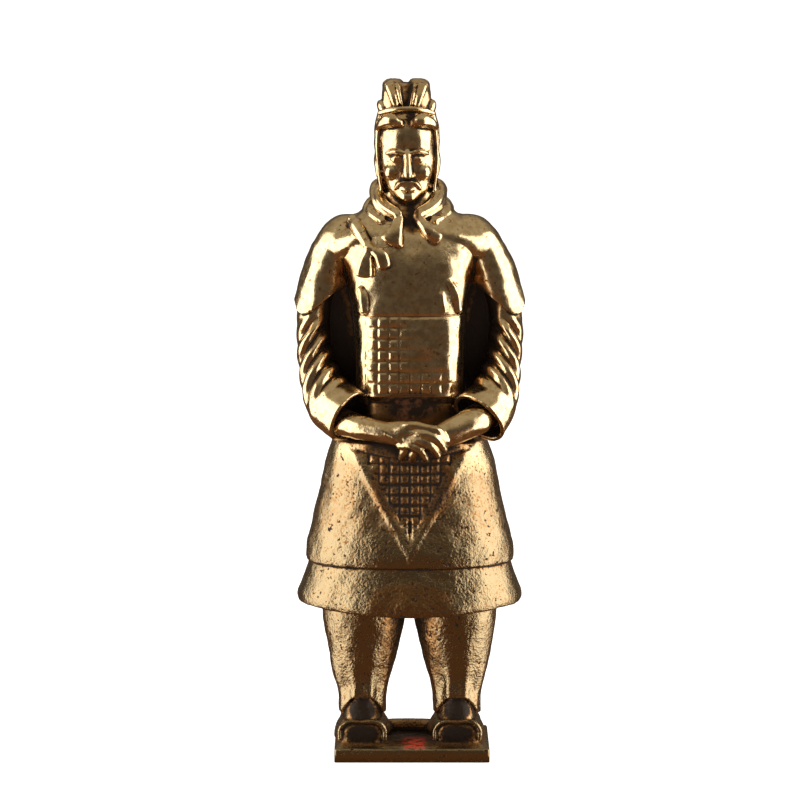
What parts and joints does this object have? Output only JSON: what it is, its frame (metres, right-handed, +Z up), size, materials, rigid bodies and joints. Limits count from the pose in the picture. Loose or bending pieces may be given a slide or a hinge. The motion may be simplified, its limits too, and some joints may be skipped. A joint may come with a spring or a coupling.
{
  "type": "brass soldier figurine",
  "caption": "Small solid-cast brass figurine of an ancient soldier in a robe, plate armour and split cap, hands folded in front, standing on a thin flat plate.",
  "frame": {"origin": "centre of the flat underside of the plate that the soldier stands on", "axes": "+Z up through the figure, -Y towards the way the soldier faces, +X towards the viewer's right"},
  "size_m": [0.0204, 0.0144, 0.0599],
  "materials": {
    "aged_brass": "as cast and polished on the high places, with fine pits and dark brown patina left in the hollows"
  },
  "bodies": {
    "root": {"figurine": "aged_brass"}
  },
  "joints": []
}
